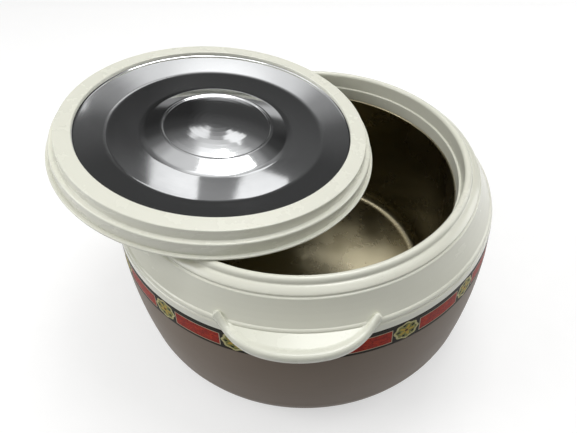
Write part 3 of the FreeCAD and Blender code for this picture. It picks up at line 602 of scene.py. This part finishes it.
def spun_steel():
    """Spun or pressed steel: fine rings about the axis and wiping smears."""
    group, n, given, result = new_group(
        "spun_steel",
        (("Place", VECTOR, None), ("Colour", COLOUR, (0.8, 0.8, 0.8, 1)),
         ("Roughness", VALUE, 0.1), ("Ring Scale", VALUE, 2200.0), ("Smears", VALUE, 0.1)),
        (("Colour", COLOUR), ("Roughness", VALUE), ("Height", VALUE)))
    place = given.outputs["Place"]
    radius = n.vector("LENGTH", n.vector("MULTIPLY", place, (1.0, 1.0, 0.0)))
    rings = n.noise(n.joined(radius, n.split(place)[2]), given.outputs["Ring Scale"], 3.0)
    smear = n.noise(place, 26.0, 4.0, 0.62)
    rough = n.maths("MULTIPLY_ADD", n.span(smear, 0.35, 0.7, -0.3, 1.0), given.outputs["Smears"],
                    given.outputs["Roughness"])
    ripple = n.maths("SUBTRACT", rings, 0.5)
    n.fill(result, {
        "Colour": n.scaled(given.outputs["Colour"], n.span(smear, 0.3, 0.75, 1.03, 0.93)),
        "Roughness": n.maths("MULTIPLY_ADD", ripple, 0.06, rough, clamp=True),
        "Height": rings,
    })
    return group


def effect(n, maker):
    """One use of a shared effect in a material's tree; it is built at its first use."""
    node = n.add("ShaderNodeGroup")
    node.node_tree = bpy.data.node_groups.get(maker.__name__) or maker()
    return node


def new_material(name):
    """A node material with its tree, its shader and its object coordinates."""
    material = bpy.data.materials.new(name)
    material.use_nodes = True
    n = Nodes(material.node_tree)
    place = n.add("ShaderNodeTexCoord").outputs["Object"]
    return material, n, material.node_tree.nodes["Principled BSDF"], place


def join_effect(n, shader, source, strength, distance):
    """Lead an effect's colour, roughness and height to the shader."""
    n.fill(shader, {
        "Base Color": source.outputs["Colour"],
        "Roughness": source.outputs["Roughness"],
        "Normal": n.bump(source.outputs["Height"], strength, distance),
    })


def plastic(name, tint, roughness, tone, grain=1.0, coat=0.3, shine=0.5):
    """Moulded plastic with a soft gloss."""
    material, n, shader, place = new_material(name)
    moulding = effect(n, moulded_plastic)
    n.fill(moulding, {"Place": place, "Colour": tuple(tint) + (1.0,), "Tone": tone,
                      "Roughness": roughness, "Grain": grain})
    join_effect(n, shader, moulding, strength=0.35, distance=0.00002)
    n.fill(shader, {"Specular IOR Level": shine, "Coat Weight": coat, "Coat Roughness": 0.12})
    return material


def steel(name, tint, roughness, rings, smears, place_from=None, bump=0.000004, anisotropy=0.0):
    """Steel with spun rings; place_from is the matrix of the piece's own axis."""
    material, n, shader, place = new_material(name)
    if place_from is not None:
        back = place_from.inverted()
        mapping = n.add("ShaderNodeMapping")
        n.fill(mapping, {"Vector": place, "Location": back.translation,
                         "Rotation": back.to_euler()})
        place = mapping.outputs[0]
    spun = effect(n, spun_steel)
    n.fill(spun, {"Place": place, "Colour": tuple(tint) + (1.0,), "Roughness": roughness,
                  "Ring Scale": rings, "Smears": smears})
    join_effect(n, shader, spun, strength=0.5, distance=bump)
    n.fill(shader, {"Metallic": 1.0, "Anisotropic": anisotropy})
    return material


def foam_material():
    """Rigid foam with fine cells."""
    material, n, shader, place = new_material("rigid_foam")
    cells = n.add("ShaderNodeTexVoronoi")
    n.fill(cells, {"Vector": place, "Scale": 900.0})
    distance = cells.outputs["Distance"]
    n.fill(shader, {
        "Base Color": n.mix(distance, (0.62, 0.50, 0.26), (0.86, 0.76, 0.50)),
        "Normal": n.bump(distance, 0.6, 0.0004),
        "Roughness": 0.9,
    })
    return material


def band_material(finish, pitch, height):
    """Printed film: black and cream lines, mottled red panels, and a lobed rosette between them.
    The wider black line along the top is partly printed, partly painted shadow under the collar's
    skirt.

    The map gives turns in u and the height in v. x and y are millimetres from the nearest
    rosette's middle, r and a its polar place, with x drawn in by squeeze. The rosette's outline is
    r = 6.15 + 0.35 cos 8a, its flower r = 2.5 + 1.5 cos 5a.
    """
    # panel_high leaves a wider black line above the panels than below them: partly printed line,
    # partly painted shadow under the skirt
    panel_low, panel_high, panel_side, frame_width = -5.0, 3.9, 8.4, 0.35
    squeeze, lobe_radius, lobe_depth, lobe_count = 0.86, 6.15, 0.35, 8.0
    petal_radius, petal_depth, petal_count = 2.5, 1.5, 5.0
    outline_width, dot_ring, dot_size, middle = 1.1, 4.0, 0.75, 0.9
    cream, dot_ink, heart = (0.62, 0.56, 0.40), (0.015, 0.014, 0.01), (0.10, 0.035, 0.015)
    material, n, shader, _ = new_material("printed_band")
    u, v, _ = n.split(n.add("ShaderNodeUVMap", uv_map="print").outputs[0])
    x = n.maths("MULTIPLY", n.maths("SUBTRACT", n.maths("FRACT", u), 0.5), pitch)
    y = n.maths("MULTIPLY", n.maths("SUBTRACT", v, 0.5), height)

    def below(value, edge, soft=0.12):
        return n.span(value, n.maths("SUBTRACT", edge, soft), n.maths("ADD", edge, soft), 1.0, 0.0)

    def above(value, edge):
        return n.maths("SUBTRACT", 1.0, below(value, edge))

    def both(first, second):
        return n.maths("MULTIPLY", first, second)

    def panel_mask(grow):
        tall = both(below(y, panel_high + grow), above(y, panel_low - grow))
        return both(tall, above(n.maths("ABSOLUTE", x), panel_side - grow))

    def wavy(turn, radius, depth, count):
        wave = n.maths("COSINE", n.maths("MULTIPLY", turn, count))
        return n.maths("MULTIPLY_ADD", wave, depth, radius)

    # Red panels with mottled printing, in a cream frame
    flecks = n.joined(n.maths("MULTIPLY", u, pitch / 2.6), n.maths("MULTIPLY", y, 0.62))
    broad = n.noise(flecks, 0.55, 3.0, 0.6)
    small = n.noise(flecks, 2.2, 4.0, 0.65)
    red = tuple(finish.field_red)
    bright = (min(1.0, red[0] * 1.6), red[1] * 2.6, red[2] * 1.8)
    dark = tuple(part * 0.25 for part in red)
    field = n.mix(n.span(broad, 0.40, 0.60), red, bright)
    field = n.mix(n.span(small, 0.48, 0.66), field, dark)
    # Black of the lines and round the rosettes; along the top it is partly painted shadow under
    # the collar's skirt
    ink_and_shadow = n.mix(n.span(small, 0.4, 0.6), (0.010, 0.009, 0.008), (0.030, 0.026, 0.016))
    print_colour = n.mix(panel_mask(frame_width), ink_and_shadow, cream)
    print_colour = n.mix(panel_mask(0.0), print_colour, field)

    # Rosette between the panels, from its outline in to its middle
    squeezed = n.maths("MULTIPLY", x, squeeze)
    from_middle = n.maths("SQRT", n.maths("ADD", both(squeezed, squeezed), both(y, y)))
    turn = n.maths("ARCTAN2", y, squeezed)
    lobes = wavy(turn, lobe_radius, lobe_depth, lobe_count)
    petals = wavy(turn, petal_radius, petal_depth, petal_count)
    outline_gold = n.mix(n.span(small, 0.4, 0.62), (0.70, 0.62, 0.36), (0.42, 0.40, 0.16))
    olive = n.mix(n.span(small, 0.42, 0.6), (0.34, 0.34, 0.10), (0.10, 0.11, 0.035))
    ring = below(n.maths("ABSOLUTE", n.maths("SUBTRACT", from_middle, dot_ring)), dot_size)
    beat = n.maths("ABSOLUTE", n.maths("SINE", n.maths("MULTIPLY", turn, petal_count / 2)))
    dots = both(ring, below(n.maths("SUBTRACT", 1.0, beat), 0.10, 0.05))
    inside = n.maths("SUBTRACT", lobes, outline_width)
    for mask, tint in ((below(from_middle, lobes), outline_gold),
                       (below(from_middle, inside), olive),
                       (below(from_middle, petals), tuple(finish.ornament_gold)),
                       (dots, dot_ink), (below(from_middle, middle), heart)):
        print_colour = n.mix(mask, print_colour, tint)
    n.fill(shader, {"Base Color": print_colour, "Specular IOR Level": 0.05,
                    "Roughness": n.span(broad, 0.3, 0.7, 0.34, 0.46)})
    return material


# Operators

class CASSEROLE_OT_pot_shell(bpy.types.Operator):
    """Outer shell in taupe plastic"""
    bl_idname = "casserole.pot_shell"
    bl_label = "Outer shell"

    def execute(self, context):
        pot, finish = context.scene.casserole_pot, context.scene.casserole_finish
        shell = turned_piece("shell_wall", shell_profile(), pot.around)
        finish_piece(shell, "pot", ("outer_shell",),
                     plastic("shell_plastic", finish.taupe, 0.42, 0.05, coat=0.0, shine=0.14))
        return {"FINISHED"}


class CASSEROLE_OT_printed_band(bpy.types.Operator):
    """Printed film band under the collar"""
    bl_idname = "casserole.printed_band"
    bl_label = "Printed band"

    def execute(self, context):
        pot, finish = context.scene.casserole_pot, context.scene.casserole_finish
        low, high = pot.band_low / MM, pot.band_high / MM
        low_radius, high_radius, film, rounding = 120.225, 118.725, 0.35, 0.06
        corners = ((low_radius, low, 0.0), (low_radius + film, low, rounding),
                   (high_radius + film, high, rounding), (high_radius, high, 0.0))
        band = turned_piece("printed_film", corners, BAND_FACETS)
        mesh = band.data
        count = len(mesh.loops)
        index = np.empty(count, np.int32)
        mesh.loops.foreach_get("vertex_index", index)
        place = np.empty(len(mesh.vertices) * 3)
        mesh.vertices.foreach_get("co", place)
        height = place.reshape(-1, 3)[index, 2]
        turn = np.empty(count * 2, np.float32)
        mesh.uv_layers["turn"].data.foreach_get("uv", turn)
        shift = finish.rosettes * (finish.rosette_angle / (2 * math.pi)) - 0.5
        u = turn[::2] * finish.rosettes - shift
        v = (height - pot.band_low) / (pot.band_high - pot.band_low)
        uv = mesh.uv_layers.new(name="print")
        uv.data.foreach_set("uv", np.stack((u, v), 1).astype(np.float32).ravel())
        middle_radius = 119.8
        pitch = 2 * math.pi * middle_radius / finish.rosettes
        finish_piece(band, "pot", ("decor_band",),
                     band_material(finish, pitch, high - low))
        return {"FINISHED"}


class CASSEROLE_OT_steel_bowl(bpy.types.Operator):
    """Pressed steel bowl inside the pot"""
    bl_idname = "casserole.steel_bowl"
    bl_label = "Steel bowl"

    def execute(self, context):
        pot, finish = context.scene.casserole_pot, context.scene.casserole_finish
        bowl = turned_piece("steel_bowl", bowl_profile(), pot.around, closed=False)
        # The bowl's olive-brown colour carries painted shade and painted reflection
        finish_piece(bowl, "pot", ("inner_bowl",),
                     steel("bowl_steel", finish.bowl_steel, 0.24, 900.0, 0.12, bump=0.00001,
                           anisotropy=0.5))
        return {"FINISHED"}


class CASSEROLE_OT_collar(bpy.types.Operator):
    """Moulded collar with rim, neck band, shoulder and skirt"""
    bl_idname = "casserole.collar"
    bl_label = "Collar"

    def execute(self, context):
        pot, finish = context.scene.casserole_pot, context.scene.casserole_finish
        collar = turned_piece("collar_ring", collar_profile(), pot.around, offset=pot.rim_height)
        finish_piece(collar, "pot", ("collar",),
                     plastic("collar_plastic", finish.cream, 0.25, 0.012))
        return {"FINISHED"}


class CASSEROLE_OT_lid(bpy.types.Operator):
    """Loose lid, lying upside down on the rim"""
    bl_idname = "casserole.lid"
    bl_label = "Loose lid"

    def execute(self, context):
        pot, lid = context.scene.casserole_pot, context.scene.casserole_lid
        finish = context.scene.casserole_finish
        place = lid_matrix(lid, pot)
        cream = plastic("lid_plastic", finish.warm_cream, 0.26, 0.015)
        mirror = steel("plate_steel", finish.mirror_steel, 0.07, 1400.0, 0.05, place)
        plate = plate_line(0.0, False) + plate_line(LID_SHEET, True)
        made = (
            ("lid_plug_ring", ring_profile(), True, ("lid_ring",), "lid_plastic", cream),
            ("lid_dome", cover_profile(), True, ("lid_cover",), "lid_plastic", cream),
            ("knob_pad", pad_profile(), True, (), "lid_plastic", cream),
            ("lid_steel", plate, False, ("lid_plate",), "plate_steel", mirror),
            ("turned_knob", knob_profile(), True, ("lid_knob",), "lid_plastic", cream),
        )
        for name, corners, closed, nodes, slot, material in made:
            piece = turned_piece(name, corners, pot.around, closed)
            piece.data.transform(place)
            finish_piece(piece, "lid", nodes, material)
        return {"FINISHED"}


def finish_nodes(names, material):
    """Put one finish on CAD nodes that keep their shape."""
    for name in names:
        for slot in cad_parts[name].material_slots:
            slot.material = material


class CASSEROLE_OT_handles(bpy.types.Operator):
    """Soft tops of both handles, and their finish"""
    bl_idname = "casserole.handles"
    bl_label = "Handles"

    def execute(self, context):
        finish, pot = context.scene.casserole_finish, context.scene.casserole_pot
        cream = plastic("handle_plastic", finish.handle_cream, 0.26, 0.02)
        for name, turned in (("handle_seat_front", 1.0), ("handle_seat_back", -1.0)):
            seat = bpy.data.objects.new(name, handle_seat_mesh(name, turned, pot.rim_height))
            context.scene.collection.objects.link(seat)
            finish_piece(seat, "pot", (), cream)
        finish_nodes(("handle_front", "handle_back"), cream)
        return {"FINISHED"}


class CASSEROLE_OT_hidden_pieces(bpy.types.Operator):
    """Finishes of the filling cap, the screws and the foam"""
    bl_idname = "casserole.hidden_pieces"
    bl_label = "Cap, screws and foam"

    def execute(self, context):
        finish = context.scene.casserole_finish
        finish_nodes(("base_cap",),
                     plastic("cap_plastic", finish.taupe, 0.42, 0.06, grain=1.4, coat=0.05))
        finish_nodes(("handle_screws", "knob_screw"),
                     steel("zinc_screws", (0.62, 0.62, 0.60), 0.3, 900.0, 0.1))
        finish_nodes(("body_foam", "lid_foam"), foam_material())
        return {"FINISHED"}


class CASSEROLE_OT_stage(bpy.types.Operator):
    """Floor, soft lamps, world and the photograph's camera"""
    bl_idname = "casserole.stage"
    bl_label = "Stage"

    def execute(self, context):
        stage = context.scene.casserole_stage
        make_floor()
        make_world(stage)
        for name, place, target, size, setting in LAMPS:
            make_lamp(name, place, target, size, getattr(stage, setting))
        make_camera(stage)
        context.scene.view_settings.view_transform = "Standard"
        return {"FINISHED"}


def seen_by(n, *rays):
    """1 for the kinds of ray named, else 0."""
    path = n.add("ShaderNodeLightPath")
    seen = path.outputs[rays[0]]
    for ray in rays[1:]:
        seen = n.maths("MAXIMUM", seen, path.outputs[ray])
    return seen


def make_floor():
    """Pale floor: a plain sheet, lifted to white for the camera and in reflections."""
    mesh = bpy.data.meshes.new("floor")
    low, high = -FLOOR_HALF, FLOOR_HALF
    corners = [(low, low, 0), (high, low, 0), (high, high, 0), (low, high, 0)]
    mesh.from_pydata(corners, [], [(0, 1, 2, 3)])
    floor = bpy.data.objects.new("floor", mesh)
    bpy.context.scene.collection.objects.link(floor)
    material, n, shader, place = new_material("pale_floor")
    fine = n.noise(place, 60.0, 3.0)
    seen = seen_by(n, "Is Camera Ray", "Is Glossy Ray", "Is Transmission Ray")
    n.fill(shader, {
        "Base Color": n.mix(fine, (0.50, 0.50, 0.495), (0.54, 0.54, 0.535)),
        "Roughness": 0.8,
        "Emission Color": (1.0, 1.0, 1.0, 1.0),
        "Emission Strength": n.maths("MULTIPLY", seen, FLOOR_GLOW),
    })
    mesh.materials.append(material)


def make_world(stage):
    """Soft room that the camera sees as plain white.

    It is bright overhead and dark low down, with a paler strip, and pale and dark panels round the
    walls from sin(5a + 0.6) of the direction a.
    """
    world = bpy.data.worlds.new("soft_room")
    bpy.context.scene.world = world
    world.use_nodes = True
    n = Nodes(world.node_tree)
    x, y, z = n.split(n.add("ShaderNodeTexCoord").outputs["Generated"])
    ramp = n.add("ShaderNodeValToRGB")
    ramp.color_ramp.interpolation = "EASE"
    elements = ramp.color_ramp.elements
    while len(elements) < len(ROOM_LEVELS):
        elements.new(0.5)
    for element, (position, level) in zip(elements, ROOM_LEVELS):
        element.position = position
        element.color = (level, level, level, 1.0)
    n.feed(ramp, 0, z)
    beat = n.maths("SINE", n.maths("MULTIPLY_ADD", n.maths("ARCTAN2", y, x), 5.0, 0.6))
    room = n.scaled(ramp.outputs[0], n.span(beat, -0.25, 0.25, 0.6, 1.25))
    seen = seen_by(n, "Is Camera Ray", "Is Transmission Ray")
    n.fill(world.node_tree.nodes["Background"],
           {"Color": n.mix(seen, room, (1.0, 1.0, 1.0)), "Strength": stage.sky})


def make_lamp(name, place, target, size, power):
    """Square soft lamp that looks at a point."""
    lamp = bpy.data.lights.new(name, "AREA")
    lamp.size = size
    lamp.energy = power
    holder = bpy.data.objects.new(name, lamp)
    holder.location = place
    holder.rotation_euler = (Vector(target) - Vector(place)).to_track_quat("-Z", "Y").to_euler()
    bpy.context.scene.collection.objects.link(holder)


def make_camera(stage):
    """Camera from its heading, pitch and roll."""
    heading, pitch, roll = stage.camera_heading, stage.camera_pitch, stage.camera_roll
    level = Vector((math.sin(heading), math.cos(heading), 0))
    ahead = level * math.cos(pitch) - Vector((0, 0, math.sin(pitch)))
    right = Vector((math.cos(heading), -math.sin(heading), 0))
    down = ahead.cross(right)
    across = right * math.cos(roll) + down * math.sin(roll)
    upward = right * math.sin(roll) - down * math.cos(roll)
    camera = bpy.data.cameras.new("camera")
    camera.sensor_width = 36.0
    camera.sensor_fit = "HORIZONTAL"
    camera.lens = stage.focal_length
    camera.clip_start = 0.01
    holder = bpy.data.objects.new("camera", camera)
    turn = Matrix((across, upward, -ahead)).transposed()
    holder.matrix_world = Matrix.Translation(stage.camera_place) @ turn.to_4x4()
    bpy.context.scene.collection.objects.link(holder)
    bpy.context.scene.camera = holder


class CASSEROLE_PT_panel(bpy.types.Panel):
    """Everything that this script builds"""
    bl_idname = "CASSEROLE_PT_panel"
    bl_label = "Casserole"
    bl_space_type = "VIEW_3D"
    bl_region_type = "UI"
    bl_category = "Casserole"

    def draw(self, context):
        for operator in OPERATORS:
            self.layout.operator(operator.bl_idname)


OPERATORS = (CASSEROLE_OT_pot_shell, CASSEROLE_OT_printed_band, CASSEROLE_OT_steel_bowl,
             CASSEROLE_OT_collar, CASSEROLE_OT_lid, CASSEROLE_OT_handles,
             CASSEROLE_OT_hidden_pieces, CASSEROLE_OT_stage)
CLASSES = (PotSizes, LidSizes, Finishes, Staging) + OPERATORS + (CASSEROLE_PT_panel,)


def register():
    """Make the settings, operators and panel known."""
    for one in CLASSES:
        bpy.utils.register_class(one)
    bpy.types.Scene.casserole_pot = PointerProperty(type=PotSizes)
    bpy.types.Scene.casserole_lid = PointerProperty(type=LidSizes)
    bpy.types.Scene.casserole_finish = PointerProperty(type=Finishes)
    bpy.types.Scene.casserole_stage = PointerProperty(type=Staging)


def unregister():
    """Undo register."""
    for name in ("casserole_stage", "casserole_finish", "casserole_lid", "casserole_pot"):
        delattr(bpy.types.Scene, name)
    for one in reversed(CLASSES):
        bpy.utils.unregister_class(one)


def main():
    """Build every piece."""
    register()
    bpy.ops.casserole.pot_shell()
    bpy.ops.casserole.printed_band()
    bpy.ops.casserole.steel_bowl()
    bpy.ops.casserole.collar()
    bpy.ops.casserole.lid()
    bpy.ops.casserole.handles()
    bpy.ops.casserole.hidden_pieces()
    bpy.ops.casserole.stage()


if __name__ == "__main__":
    main()
